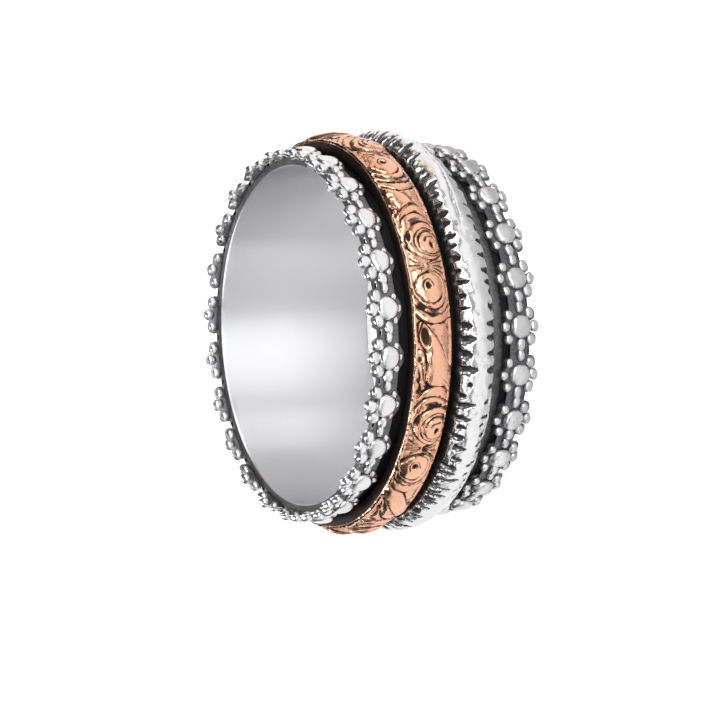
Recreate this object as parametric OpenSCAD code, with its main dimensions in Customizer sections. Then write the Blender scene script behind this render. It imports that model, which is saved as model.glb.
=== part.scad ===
// Spinner ring: a silver base band with a beaded rim soldered along each edge, and two
// loose outer bands that turn on it, one of rose gold with raised roses and leaves and
// one of silver with hammered notches. Millimetres. The ring lies on its rear rim: +Z runs
// along the finger axis to the front rim, and z = 0 is the level of the rear bead tips.

/* [Base band] */
// Inner diameter, which is the finger size
finger_d = 17.3; // [15:0.1:22]
// Wall of the base band between its rims
sleeve_wall = 0.45; // [0.4:0.05:0.8]
// How far the bore's edge stands outside each line of domes
edge_reach = 0.38; // [0.3:0.02:0.6]
// Rounding of the inner lip of the bore
lip_r = 0.12; // [0.05:0.01:0.18]
// How far the wall runs on behind the rear edge, tapering from outside to a thin lip
rear_lip = 0.44; // [0.3:0.02:0.5]

/* [Beaded rims] */
// Thickness of the plate under the beads
plate_t = 0.18; // [0.14:0.01:0.3]
// Distance from one rosette to the next, measured round the line of domes
rosette_pitch = 2.5; // [2.4:0.05:3]
// Radius of the plate under one rosette
rosette_plate_r = 0.86; // [0.8:0.01:0.95]
// Diameter of the dome in the middle of a rosette, where it meets the plate
dome_d = 1.12; // [1:0.02:1.2]
// Height of the dome over the plate
dome_h = 0.36; // [0.25:0.01:0.45]
// Diameter of the six small beads round a dome
granule_d = 0.5; // [0.46:0.01:0.54]
// Distance of the middle outer bead from the line of domes
granule_out = 0.79; // [0.77:0.01:0.82]
// Distance of the middle inner bead from the line of domes
granule_in = 0.76; // [0.74:0.01:0.8]
// Turn about the dome from a middle bead to the one beside it, in degrees
granule_turn = 47; // [43:1:50]
// Diameter of the larger link bead between two domes
link_big_d = 0.48; // [0.42:0.01:0.52]
// Diameter of the smaller link bead
link_small_d = 0.36; // [0.3:0.01:0.4]
// Half width of the plate at the neck that carries the link beads
neck_half_w = 0.43; // [0.36:0.01:0.5]

/* [Spinner bands] */
// Running clearance between the base band and the bands that turn on it
spin_gap = 0.1; // [0.06:0.01:0.2]
// Width of the rose gold band
rose_w = 2.15; // [1.9:0.05:2.6]
// Thickness of the rose gold band at its crest, relief and all
rose_t = 1.15; // [1:0.05:1.5]
// Width of the silver band
silver_w = 1.96; // [1.6:0.02:2.4]
// Thickness of the silver band at its crest
silver_t = 1.1; // [0.9:0.05:1.4]
// How much lower the edges of both bands are than their crest
band_fall = 0.36; // [0.3:0.02:0.5]
// Gap between the front rim's beads and the rose gold band
front_gap = 0.08; // [0.06:0.01:0.4]
// Gap between the two bands
middle_gap = 0.5; // [0.2:0.05:0.8]
// Gap between the silver band and the rear rim's beads
rear_gap = 0.77; // [0.2:0.01:1]

/* [Relief] */
// Height of the roses and leaves over the ground of the rose gold band
relief_h = 0.16; // [0.1:0.01:0.22]
// Radius of the outermost petal of a rose
rose_r = 0.92; // [0.7:0.02:1]
// Distance from the middle of a pair of roses to each rose, along the band
rose_reach = 1.06; // [0.9:0.02:1.3]
// Distance of each rose from the middle line of the band, across it
rose_rise = 0.36; // [0.2:0.02:0.45]
// Diameter of the pit in the heart of a rose
pit_d = 0.26; // [0.16:0.02:0.34]
// Width of a leaf at its middle
leaf_w = 1.1; // [0.7:0.05:1.4]
// Distance from one notch of the silver band to the next
notch_pitch = 0.77; // [0.65:0.01:1.2]
// Depth of a notch at the edge of the band
notch_h = 0.14; // [0.08:0.01:0.2]

/* [Hidden] */
$fn = 64;
turned_fn = 240;

// Turns round the ring count from -Y towards +X, and shapes are drawn on the +X side
start = -90;

// Radii, from the finger outwards
bore_r = finger_d / 2;
sleeve_r = bore_r + sleeve_wall;
plate_r = sleeve_r + plate_t;
dome_r = plate_r + dome_h;
band_bore_r = sleeve_r + spin_gap;
rose_crest_r = band_bore_r + rose_t;
silver_crest_r = band_bore_r + silver_t;

// Levels along the finger axis, from the rear bead tips up
granule_r = granule_d / 2;
rear_line_z = granule_out + granule_r;
silver_z = rear_line_z + granule_in + granule_r + rear_gap;
rose_z = silver_z + silver_w + middle_gap;
front_line_z = rose_z + rose_w + front_gap + granule_in + granule_r;
wall_low = rear_line_z - edge_reach;
bore_low = wall_low - rear_lip;
bore_top = front_line_z + edge_reach;

// Beading: the domes of one rim lie half a step round from those of the other
rosette_count = round(2 * PI * dome_r / rosette_pitch);
rosette_step = 360 / rosette_count;
front_turn = 6.5;
rear_turn = front_turn + rosette_step / 2;
dome_ball_r = (pow(dome_d / 2, 2) + pow(dome_h, 2)) / (2 * dome_h);
plate_foot = sleeve_wall / 4;
bead_sink = 0.02;
// Link beads between two domes: place as a share of the gap between them, diameter
link_beads = [[0.66, link_big_d], [0.29, link_small_d]];

// Roses: the middle of each pair round the band in degrees, as the pieces were set
pair_turns = [-36, 17.6, 60.6, 113, 166, 219, 271];
// Petals of a rose: radius and shift away from the pair as shares of rose_r, height as
// a share of relief_h
petals = [[1, 0.24, 0.3], [0.82, 0.16, 0.55], [0.64, 0.08, 0.8], [0.46, 0, 1]];
ground_crest_r = rose_crest_r - relief_h;
edge_land = 0.06;
leaf_h = 0.7 * relief_h;
leaf_tilt = 21;
leaf_free = 0.25;

// Notches: length as a share of the band's width, and shift as a share of the pitch
front_notches = [[0.42, 0], [0.3, 0.1], [0.36, -0.08], [0.24, 0.05], [0.4, -0.1]];
rear_notches = [[0.3, 0.3], [0.18, 0.45], [0.26, 0.4], [0.34, 0.5]];
notch_count = round(2 * PI * silver_crest_r / notch_pitch);

// Radius of the arc across a domed band of half width half_w
function arc_r(half_w) = (pow(half_w, 2) + pow(band_fall, 2)) / (2 * band_fall);

// Radius of a domed band's surface at a distance x from its middle line
function surface_r(crest_r, half_w, x) =
    crest_r - arc_r(half_w) + sqrt(pow(arc_r(half_w), 2) - pow(x, 2));

// A turned band on its middle line: a straight bore and a domed outside, which raise
// lifts and trim narrows at each side
module domed_band(inner_r, crest_r, w, raise = 0, trim = 0) {
    bow = arc_r(w / 2);
    rotate_extrude($fn = turned_fn) intersection() {
        translate([inner_r, -w / 2 + trim]) square([crest_r + raise - inner_r, w - 2 * trim]);
        translate([crest_r - bow, 0]) circle(bow + raise, $fn = turned_fn);
    }
}

// The plain band under the rims: a straight bore with rounded lips, tapered at the rear
module sleeve() {
    inner_r = bore_r + lip_r;
    color("gainsboro") rotate_extrude($fn = turned_fn) {
        polygon([[inner_r, bore_low], [sleeve_r, wall_low], [sleeve_r, bore_top], [inner_r, bore_top]]);
        translate([bore_r, bore_low + lip_r])
            square([lip_r + bead_sink, bore_top - bore_low - 2 * lip_r]);
        for (z = [bore_low + lip_r, bore_top - lip_r]) translate([inner_r, z]) circle(lip_r);
    }
}

// A ball whose top stands h over the plane z = 0, cut off flat at depth foot_h under it
module button(ball_r, h, foot_h) {
    rotate_extrude() intersection() {
        translate([0, h - ball_r]) circle(ball_r);
        translate([0, -foot_h]) square([2 * ball_r, foot_h + h]);
    }
}

// A bead on the +X side, half sunk in a plate whose top is the plane x = plate_r
module bead(d) {
    translate([plate_r - bead_sink, 0, 0]) rotate([0, 90, 0]) button(d / 2, d / 2, 0.6 * plate_t);
}

// One rosette on the +X side: +X points away from the finger, +Y round the ring and +Z
// to the outer side of the rim
module rosette() {
    translate([sleeve_r - plate_foot, 0, 0]) rotate([0, 90, 0])
        cylinder(r = rosette_plate_r, h = plate_t + plate_foot, $fn = 6);
    translate([plate_r, 0, 0]) rotate([0, 90, 0]) button(dome_ball_r, dome_h, plate_t / 2);
    for (side = [-1, 0, 1], reach = [granule_out, -granule_in])
        translate([0, reach * sin(side * granule_turn), reach * cos(side * granule_turn)]) bead(granule_d);
}

// The neck plate in the middle of the gap between two domes, with its link beads
module links() {
    length = 2 * (plate_r * tan(rosette_step / 2) - dome_d / 2);
    translate([sleeve_r - plate_foot, -length / 2, -neck_half_w])
        cube([plate_t + plate_foot, length, 2 * neck_half_w]);
    for (link = link_beads) translate([0, (link[0] - 0.5) * length, 0]) bead(link[1]);
}

// A whole rim on its line of domes
module beaded_rim(turn) {
    color("silver") for (k = [0:rosette_count - 1]) {
        rotate(start + turn + k * rosette_step) rosette();
        rotate(start + turn + (k + 0.5) * rosette_step) links();
    }
}

// The base band with both rims soldered on is one piece of metal
module base_band() {
    sleeve();
    translate([0, 0, front_line_z]) beaded_rim(front_turn);
    translate([0, 0, rear_line_z]) mirror([0, 0, 1]) beaded_rim(rear_turn);
}

// Degrees round the rose gold band's crest for a length along it
function along(length) = length / rose_crest_r * 180 / PI;

// Prisms through the band for one level of petals, both roses of every pair
module petal_level(petal) {
    for (turn = pair_turns, way = [-1, 1])
        rotate(start + turn + way * along(rose_reach + petal[1] * rose_r))
            translate([band_bore_r, 0, -way * rose_rise]) rotate([0, 90, 0])
                cylinder(r = petal[0] * rose_r, h = 2 * rose_t);
}

// A pointed leaf between two pairs, as a prism through the band
module leaf(from, to) {
    length = (to - from) * PI / 180 * rose_crest_r - 2 * (rose_reach + rose_r) - 2 * leaf_free;
    bow = (pow(length / 2, 2) + pow(leaf_w / 2, 2)) / leaf_w;
    rotate(start + (from + to) / 2) translate([band_bore_r, 0, 0]) rotate([leaf_tilt, 0, 0])
        rotate([0, 90, 0]) linear_extrude(2 * rose_t) intersection() {
            translate([bow - leaf_w / 2, 0]) circle(bow, $fn = 96);
            translate([leaf_w / 2 - bow, 0]) circle(bow, $fn = 96);
        }
}

// The rose gold band: a domed ring, and on it pairs of roses with leaves between them
module rose_band() {
    pairs = len(pair_turns);
    inner_r = band_bore_r + rose_t / 3;
    color("#e6b08c") translate([0, 0, rose_z + rose_w / 2]) difference() {
        union() {
            domed_band(band_bore_r, ground_crest_r, rose_w);
            for (petal = petals) intersection() {
                domed_band(inner_r, ground_crest_r, rose_w, petal[2] * relief_h, edge_land);
                petal_level(petal);
            }
            intersection() {
                domed_band(inner_r, ground_crest_r, rose_w, leaf_h, edge_land);
                for (k = [0:pairs - 1])
                    leaf(pair_turns[k], k < pairs - 1 ? pair_turns[k + 1] : pair_turns[0] + 360);
            }
        }
        for (turn = pair_turns, way = [-1, 1])
            rotate(start + turn + way * along(rose_reach))
                translate([ground_crest_r - relief_h, 0, -way * rose_rise]) rotate([0, 90, 0])
                    cylinder(d = pit_d, h = rose_t);
    }
}

// A cutter on the +X side for one notch of the silver band, which runs in from the edge
// at +Z and gets narrower and shallower
module notch(length) {
    half_w = silver_w / 2;
    tip_r = surface_r(silver_crest_r, half_w, half_w - length);
    drop = tip_r - surface_r(silver_crest_r, half_w, half_w) + notch_h;
    side = 4 * notch_h;
    translate([tip_r, 0, half_w - length]) rotate([0, -atan(drop / length), 0]) rotate(-45)
        cube([side, side, 2 * length]);
}

// Notches along one edge of the silver band
module notch_row(shapes) {
    for (k = [0:notch_count - 1]) {
        shape = shapes[k % len(shapes)];
        rotate(start + (k + shape[1]) * 360 / notch_count) notch(shape[0] * silver_w);
    }
}

// The silver band: a domed ring, notched in from both edges
module silver_band() {
    color("lightgray") translate([0, 0, silver_z + silver_w / 2]) difference() {
        domed_band(band_bore_r, silver_crest_r, silver_w);
        notch_row(front_notches);
        mirror([0, 0, 1]) notch_row(rear_notches);
    }
}

base_band();
rose_band();
silver_band();
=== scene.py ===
"""Spinner ring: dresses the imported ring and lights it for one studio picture.

The ring lies on its rear rim. +Z runs along the finger axis to the front rim, and the
camera looks at the -Y side from above. Turns round the ring count in degrees from -Y
towards +X. The classes hold their sizes in millimetres, and the meshes are in metres.
"""
import logging
import math
from collections.abc import Callable
from dataclasses import dataclass, field
from enum import Enum

import bpy
import numpy as np
from mathutils import Matrix, Vector, noise


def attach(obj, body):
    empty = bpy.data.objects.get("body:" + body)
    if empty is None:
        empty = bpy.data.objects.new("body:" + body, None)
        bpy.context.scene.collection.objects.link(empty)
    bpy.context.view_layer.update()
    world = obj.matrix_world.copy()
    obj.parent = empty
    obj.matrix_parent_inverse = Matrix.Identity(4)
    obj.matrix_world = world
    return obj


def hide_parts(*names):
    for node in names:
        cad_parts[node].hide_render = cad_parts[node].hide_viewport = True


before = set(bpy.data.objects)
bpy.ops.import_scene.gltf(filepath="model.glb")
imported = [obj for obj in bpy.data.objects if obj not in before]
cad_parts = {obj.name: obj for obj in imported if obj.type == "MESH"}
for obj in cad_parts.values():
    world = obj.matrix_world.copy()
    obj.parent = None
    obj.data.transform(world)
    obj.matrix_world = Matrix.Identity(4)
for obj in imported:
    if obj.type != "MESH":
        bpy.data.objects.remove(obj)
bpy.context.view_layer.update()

log = logging.getLogger("spinner_ring")

MM = 0.001
OXIDE = "oxide"
TONE = "tone"
CAST_SEED = 5
OXIDE_EDGE = (0.2, 0.75)
DULL_MARKS = (0.1, 0.45)


# Small tools


def deselect_all() -> None:
    """Leaves object mode with nothing selected."""
    if bpy.context.object and bpy.context.object.mode != "OBJECT":
        bpy.ops.object.mode_set(mode="OBJECT")
    bpy.ops.object.select_all(action="DESELECT")


def pick(piece: bpy.types.Object) -> None:
    """Makes one object the only selected and the active one."""
    deselect_all()
    piece.select_set(True)
    bpy.context.view_layer.objects.active = piece


def edit(piece: bpy.types.Object) -> None:
    """Opens one object in edit mode with all of it selected."""
    pick(piece)
    bpy.ops.object.mode_set(mode="EDIT")
    bpy.ops.mesh.select_mode(type="VERT")
    bpy.ops.mesh.select_all(action="SELECT")


def close_edit() -> None:
    """Turns the faces outwards and goes back to object mode."""
    bpy.ops.mesh.select_all(action="SELECT")
    bpy.ops.mesh.normals_make_consistent(inside=False)
    bpy.ops.object.mode_set(mode="OBJECT")


def read_points(piece: bpy.types.Object) -> np.ndarray:
    """Reads a mesh's vertices.

    Args:
        piece: The mesh object.

    Returns:
        An array with one row per vertex, in millimetres.
    """
    flat = np.empty(len(piece.data.vertices) * 3)
    piece.data.vertices.foreach_get("co", flat)
    return flat.reshape(-1, 3) / MM


def write_points(piece: bpy.types.Object, points: np.ndarray) -> None:
    """Moves a mesh's vertices.

    Args:
        piece: The mesh object.
        points: One row per vertex, in millimetres.
    """
    piece.data.vertices.foreach_set("co", (points * MM).ravel())
    piece.data.update()


def write_mask(piece: bpy.types.Object, name: str, values: np.ndarray) -> None:
    """Stores one number per vertex under a name that the finishes read.

    Args:
        piece: The mesh object.
        name: The attribute's name.
        values: One value per vertex, from 0 to 1.
    """
    mask = piece.data.attributes.new(name, "FLOAT", "POINT")
    mask.data.foreach_set("value", np.clip(values, 0.0, 1.0).astype(np.float32))


def copy_of(master: bpy.types.Object, place: Matrix) -> bpy.types.Object:
    """Copies an object with a mesh of its own, and puts the place into the mesh.

    Args:
        master: The object that is copied.
        place: Where the copy goes, as a matrix in metres.

    Returns:
        The new object.
    """
    twin = master.copy()
    twin.data = master.data.copy()
    bpy.context.scene.collection.objects.link(twin)
    twin.data.transform(place)
    return twin


def join(name: str, parts: list[bpy.types.Object]) -> bpy.types.Object:
    """Joins mesh objects into the first of them.

    Args:
        name: The joined object's name.
        parts: The objects, with the one that stays first.

    Returns:
        The joined object.
    """
    deselect_all()
    for part in parts:
        part.select_set(True)
    bpy.context.view_layer.objects.active = parts[0]
    bpy.ops.object.join()
    parts[0].name = name
    parts[0].data.name = name
    return parts[0]


def step(values: np.ndarray, low: float, high: float) -> np.ndarray:
    """Rises smoothly from 0 at low to 1 at high.

    Args:
        values: The values to map.
        low: Where the rise starts.
        high: Where it ends; below low, the step falls.

    Returns:
        The mapped values.
    """
    t = np.clip((values - low) / (high - low), 0.0, 1.0)
    return t * t * (3.0 - 2.0 * t)


def plateau(values: np.ndarray, rise: tuple[float, float], fall: tuple[float, float]) -> np.ndarray:
    """Rises smoothly from 0 to 1 and falls back to 0.

    Args:
        values: The values to map.
        rise: Where the rise starts and ends.
        fall: Where the fall starts and ends.

    Returns:
        The mapped values.
    """
    return step(values, *rise) * (1.0 - step(values, *fall))


def widen(points: np.ndarray, grown: np.ndarray) -> None:
    """Moves points away from the finger axis.

    Args:
        points: The points, which are changed.
        grown: Each point's new radius as a share of its old one.
    """
    points[:, 0] *= grown
    points[:, 1] *= grown


def curve(points: list[tuple[float, float]], closed: bool = False) -> np.ndarray:
    """Draws a smooth line through points.

    Args:
        points: The points that the line passes.
        closed: Whether the last point joins the first.

    Returns:
        An array of points close together on the line.
    """
    p = np.array(points, dtype=float)
    if closed:
        p = np.vstack([p[-1], p, p[0], p[1]])
    else:
        p = np.vstack([2 * p[0] - p[1], p, 2 * p[-1] - p[-2]])
    t = np.linspace(0.0, 1.0, 9)[:-1, None]
    line = [
        0.5 * (2 * b + (c - a) * t + (2 * a - 5 * b + 4 * c - d) * t**2
               + (3 * b - a - 3 * c + d) * t**3)
        for a, b, c, d in zip(p, p[1:], p[2:], p[3:])
    ]
    return np.vstack(line + [p[-2][None]])


def distance(x: np.ndarray, y: np.ndarray, line: np.ndarray) -> np.ndarray:
    """Measures how far each point lies from a line.

    Args:
        x: The points' first coordinate.
        y: The points' second coordinate.
        line: The line's points.

    Returns:
        The distances.
    """
    best = np.full(x.shape, 1e9)
    for (ax, ay), (bx, by) in zip(line, line[1:]):
        dx, dy = bx - ax, by - ay
        span = max(dx * dx + dy * dy, 1e-12)
        t = np.clip(((x - ax) * dx + (y - ay) * dy) / span, 0.0, 1.0)
        best = np.minimum(best, np.hypot(x - ax - t * dx, y - ay - t * dy))
    return best


def inside(x: np.ndarray, y: np.ndarray, line: np.ndarray) -> np.ndarray:
    """Finds the points inside a closed line.

    Args:
        x: The points' first coordinate.
        y: The points' second coordinate.
        line: The closed line's points.

    Returns:
        True for each point inside.
    """
    odd = np.zeros(x.shape, dtype=bool)
    for (ax, ay), (bx, by) in zip(line, np.roll(line, -1, axis=0)):
        if ay != by:
            cross = (ay > y) != (by > y)
            odd ^= cross & (x < (bx - ax) * (y - ay) / (by - ay) + ax)
    return odd


# Finishes


class Wiring:
    """Adds and joins the nodes of one node tree."""

    def __init__(self, tree: bpy.types.NodeTree) -> None:
        """Starts on an empty tree."""
        self.tree = tree
        tree.nodes.clear()

    def add(self, kind: str, **values: object) -> bpy.types.Node:
        """Adds a node.

        Args:
            kind: The node's type, without its ShaderNode prefix where it has one.
            **values: Settings by attribute name, or inputs by name with underscores.

        Returns:
            The new node.
        """
        full = kind if kind.startswith("Node") else "ShaderNode" + kind
        node = self.tree.nodes.new(full)
        for key, value in values.items():
            if hasattr(node, key):
                setattr(node, key, value)
            else:
                self.feed(node, key.replace("_", " "), value)
        return node

    def feed(self, node: bpy.types.Node, name: str | int, value: object) -> None:
        """Sets an input, or links it if the value is a socket.

        Args:
            node: The node that has the input.
            name: The input's name or number.
            value: A plain value or an output socket.
        """
        if isinstance(value, bpy.types.NodeSocket):
            self.tree.links.new(value, node.inputs[name])
        else:
            node.inputs[name].default_value = value

    def math(self, operation: str, *values: object) -> bpy.types.NodeSocket:
        """Adds a Math node.

        Args:
            operation: The node's operation.
            *values: Its inputs, plain or sockets.

        Returns:
            The node's output.
        """
        node = self.add("Math", operation=operation)
        for number, value in enumerate(values):
            self.feed(node, number, value)
        return node.outputs[0]

    def ramp(self, value: object, low: float, high: float, start: object, end: object
             ) -> bpy.types.NodeSocket:
        """Maps a value smoothly from one range to another.

        Args:
            value: The socket that is mapped.
            low: The value that gives start.
            high: The value that gives end.
            start: The result at low.
            end: The result at high.

        Returns:
            The mapped output.
        """
        node = self.add("MapRange", interpolation_type="SMOOTHSTEP")
        for number, entry in enumerate((value, low, high, start, end)):
            self.feed(node, number, entry)
        return node.outputs[0]

    def mix(self, share: object, first: object, second: object) -> bpy.types.NodeSocket:
        """Mixes two colours.

        Args:
            share: How much of the second colour shows.
            first: The colour at 0.
            second: The colour at 1.

        Returns:
            The mixed colour.
        """
        node = self.add("Mix", data_type="RGBA")
        for number, entry in ((0, share), (6, first), (7, second)):
            self.feed(node, number, entry)
        return node.outputs[2]


def new_group(name: str, inputs: dict[str, str], outputs: dict[str, str]
              ) -> tuple[bpy.types.NodeTree, Wiring, bpy.types.Node, bpy.types.Node]:
    """Makes an empty shader node group.

    Args:
        name: The group's name.
        inputs: Socket types by input name.
        outputs: Socket types by output name.

    Returns:
        The group, its wiring, and its input and output nodes.
    """
    tree = bpy.data.node_groups.new(name, "ShaderNodeTree")
    for way, sockets in (("INPUT", inputs), ("OUTPUT", outputs)):
        for socket, kind in sockets.items():
            tree.interface.new_socket(socket, in_out=way, socket_type="NodeSocket" + kind)
    wiring = Wiring(tree)
    return tree, wiring, wiring.add("NodeGroupInput"), wiring.add("NodeGroupOutput")


def recess_oxide_group() -> bpy.types.NodeTree:
    """Builds the blackening that stays in recesses and wears off the high places.

    Returns:
        A group that mixes the metal's and the oxide's colour by a frayed mask.
    """
    tree, wiring, given, out = new_group(
        "recess_oxide",
        {"Metal": "Color", "Oxide": "Color", "Mask": "Float", "Scale": "Float", "Fray": "Float"},
        {"Color": "Color", "Cover": "Float"})
    place = wiring.add("TexCoord").outputs["Object"]
    grain = wiring.add("TexNoise", Vector=place, Scale=given.outputs["Scale"], Detail=4.0,
                       Roughness=0.6).outputs[0]
    swing = wiring.math("MULTIPLY", wiring.math("SUBTRACT", grain, 0.5), given.outputs["Fray"])
    cover = wiring.ramp(wiring.math("ADD", given.outputs["Mask"], swing), *OXIDE_EDGE, 0.0, 1.0)
    wiring.feed(out, "Color", wiring.mix(cover, given.outputs["Metal"], given.outputs["Oxide"]))
    wiring.feed(out, "Cover", cover)
    return tree


def polish_marks_group() -> bpy.types.NodeTree:
    """Builds the fine marks that polishing and wear leave.

    Returns:
        A group that gives a height for the bump and a share of dulling.
    """
    tree, wiring, given, out = new_group(
        "polish_marks", {"Stretch": "Vector", "Scale": "Float"},
        {"Height": "Float", "Dull": "Float"})
    place = wiring.add("TexCoord").outputs["Object"]
    drawn = wiring.add("VectorMath", operation="MULTIPLY")
    wiring.feed(drawn, 0, place)
    wiring.feed(drawn, 1, given.outputs["Stretch"])
    lines = wiring.add("TexNoise", Vector=drawn.outputs[0], Scale=given.outputs["Scale"],
                       Detail=3.0).outputs[0]
    clouds = wiring.add("TexNoise", Vector=place,
                        Scale=wiring.math("MULTIPLY", given.outputs["Scale"], 0.35),
                        Detail=2.0).outputs[0]
    wiring.feed(out, "Height", lines)
    wiring.feed(out, "Dull", wiring.math("MULTIPLY", lines, clouds))
    return tree


@dataclass(frozen=True)
class Finish:
    """A polished metal with oxide in its recesses.

    The metal's roughness runs from shine to dull, and shade darkens it where the tone is low.
    Fray breaks up the oxide's edge. Drawn stretches the gloss, turned by drawn_turn.
    """

    name: str
    metal: tuple[float, float, float]
    oxide: tuple[float, float, float]
    shine: float
    dull: float
    oxide_rough: float = 0.45
    oxide_metal: float = 0.75
    grain_per_mm: float = 5.0
    fray: float = 0.35
    marks_per_mm: float = 3.0
    stretch: tuple[float, float, float] = (1.0, 1.0, 1.0)
    marks_depth: float = 0.004
    shade: float = 0.12
    oxide_gloss: float = 0.5
    drawn: float = 0.0
    drawn_turn: float = 0.0

    def material(self) -> bpy.types.Material:
        """Builds the finish as a material.

        Returns:
            The material, which reads the oxide and tone attributes.
        """
        made = bpy.data.materials.new(self.name)
        made.use_nodes = True
        wiring = Wiring(made.node_tree)
        mask = wiring.add("Attribute", attribute_name=OXIDE).outputs["Fac"]
        tone = wiring.add("Attribute", attribute_name=TONE).outputs["Fac"]
        darker = tuple(c * (1.0 - self.shade) for c in self.metal)
        metal = wiring.mix(tone, (*darker, 1.0), (*self.metal, 1.0))
        oxide = wiring.add("Group", node_tree=bpy.data.node_groups["recess_oxide"], Metal=metal,
                           Oxide=(*self.oxide, 1.0), Mask=mask, Scale=self.grain_per_mm / MM,
                           Fray=self.fray)
        marks = wiring.add("Group", node_tree=bpy.data.node_groups["polish_marks"],
                           Stretch=self.stretch, Scale=self.marks_per_mm / MM)
        polish = wiring.ramp(marks.outputs["Dull"], *DULL_MARKS, self.shine, self.dull)
        rough = wiring.ramp(oxide.outputs["Cover"], 0.0, 1.0, polish, self.oxide_rough)
        metallic = wiring.ramp(oxide.outputs["Cover"], 0.0, 1.0, 1.0, self.oxide_metal)
        bump = wiring.add("Bump", Height=marks.outputs["Height"], Strength=1.0,
                          Distance=self.marks_depth * MM)
        shader = wiring.add("BsdfPrincipled", Base_Color=oxide.outputs["Color"],
                            Roughness=rough, Metallic=metallic, Normal=bump.outputs[0],
                            Specular_IOR_Level=self.oxide_gloss, Anisotropic=self.drawn)
        if self.drawn > 0.0:
            round_z = wiring.add("Tangent", direction_type="RADIAL", axis="Z")
            wiring.feed(shader, "Tangent", round_z.outputs[0])
            wiring.feed(shader, "Anisotropic Rotation", self.drawn_turn)
        wiring.add("OutputMaterial", Surface=shader.outputs[0])
        return made


SILVER = (0.87, 0.87, 0.88)
CAST_SILVER = (0.76, 0.76, 0.765)
BLACKENED = (0.07, 0.07, 0.073)
PLATE_GREY = (0.15, 0.15, 0.155)


class Finishes(Enum):
    """The ring's finishes."""

    BORE = Finish("polished_silver_bore", SILVER, (0.012, 0.012, 0.013), 0.3, 0.34,
                  oxide_rough=0.6, oxide_metal=0.6, marks_per_mm=20.0,
                  stretch=(0.03, 0.03, 4.0), marks_depth=0.003, fray=0.15, oxide_gloss=0.3,
                  drawn=1.0, drawn_turn=0.25)
    RIM = Finish("blackened_silver_beads", CAST_SILVER, PLATE_GREY, 0.26, 0.42)
    ROSE = Finish("rose_gold_relief", (0.82, 0.45, 0.3), (0.02, 0.012, 0.008), 0.16, 0.34,
                  oxide_rough=0.6, oxide_metal=0.4, marks_depth=0.003, grain_per_mm=6.0,
                  fray=0.3, oxide_gloss=0.25)
    HAMMERED = Finish("hammered_silver", CAST_SILVER, BLACKENED, 0.2, 0.32, marks_depth=0.004,
                      grain_per_mm=6.0)


# Sub-assemblies


@dataclass
class Sleeve:
    """The plain base band under the rims and the loose bands.

    It is black outside, with less oxide on its front lip, and a grey strip behind the silver band
    that is painted light, where light reaches the sleeve beside the band.
    """

    bore_r: float = 8.65
    wall: float = 0.45
    low_z: float = 0.22
    taper_z: float = 0.66
    high_z: float = 8.9
    lip: float = 0.12
    sides: int = 360
    rows: int = 24
    bright_depth: float = 0.015
    black_depth: float = 0.06
    painted_light_rise: tuple[float, float] = (1.85, 2.1)
    painted_light_fall: tuple[float, float] = (2.7, 3.0)
    painted_light: float = 0.42
    lip_band: tuple[float, float] = (0.06, 0.02)
    lip_lighter: float = 0.35

    def build(self) -> bpy.types.Object:
        """Makes the sleeve: a tube with rounded lips, tapered outside at the rear.

        Returns:
            The finished piece.
        """
        deselect_all()
        length = self.high_z - self.low_z
        bpy.ops.mesh.primitive_cylinder_add(
            vertices=self.sides, radius=(self.bore_r + self.wall) * MM, depth=length * MM,
            end_fill_type="NOTHING", location=(0.0, 0.0, (self.low_z + self.high_z) / 2 * MM))
        piece = bpy.context.object
        piece.name = piece.data.name = "base_sleeve"
        bpy.ops.object.transform_apply(location=True, rotation=True, scale=True)
        wall = piece.modifiers.new("wall", "SOLIDIFY")
        wall.thickness, wall.offset = self.wall * MM, -1.0
        pick(piece)
        bpy.ops.object.modifier_apply(modifier=wall.name)
        lips = piece.modifiers.new("lips", "BEVEL")
        lips.width, lips.segments, lips.limit_method = self.lip * MM, 5, "ANGLE"
        bpy.ops.object.modifier_apply(modifier=lips.name)
        edit(piece)
        for k in range(1, self.rows):
            bpy.ops.mesh.select_all(action="SELECT")
            height = self.low_z + length * k / self.rows
            bpy.ops.mesh.bisect(plane_co=(0.0, 0.0, height * MM), plane_no=(0.0, 0.0, 1.0))
        close_edit()
        points = read_points(piece)
        radius = np.hypot(points[:, 0], points[:, 1])
        share = np.clip((self.taper_z - points[:, 2]) / (self.taper_z - self.low_z), 0.0, 1.0)
        shrunk = 1.0 - share * (1.0 - self.lip / self.wall)
        grown = (self.bore_r + (radius - self.bore_r) * shrunk) / radius
        widen(points, grown)
        write_points(piece, points)
        level = points[:, 2]
        black = step(radius * grown, self.bore_r + self.bright_depth, self.bore_r + self.black_depth)
        # Painted light: less oxide in a strip behind the silver band, so the sleeve shows lighter
        # where light reaches it and stays black in the shade by the rear rim.
        painted_light = self.painted_light * plateau(level, self.painted_light_rise, self.painted_light_fall)
        # Less oxide on the front lip, so it shows dark grey rather than black.
        lip = self.lip_lighter * step(level, *(self.high_z - depth for depth in self.lip_band))
        write_mask(piece, OXIDE, black * (1.0 - np.maximum(painted_light, lip)))
        write_mask(piece, TONE, np.ones(len(points)))
        bpy.ops.object.shade_smooth_by_angle(angle=math.radians(40))
        piece.data.materials.append(Finishes.BORE.value.material())
        return piece


class Rim(Enum):
    """The two beaded rims."""

    FRONT = "front_rim"
    REAR = "rear_rim"


@dataclass(frozen=True)
class Bead:
    """One kind of bead: half sizes along and across the rim, height, and how flat its top is.

    A whole bead stands past the plate's edge, so that it shows from below too.
    """

    along: float
    across: float
    height: float
    flat: float = 2.2
    sides: int = 16
    rings: int = 5
    whole: bool = False


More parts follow.
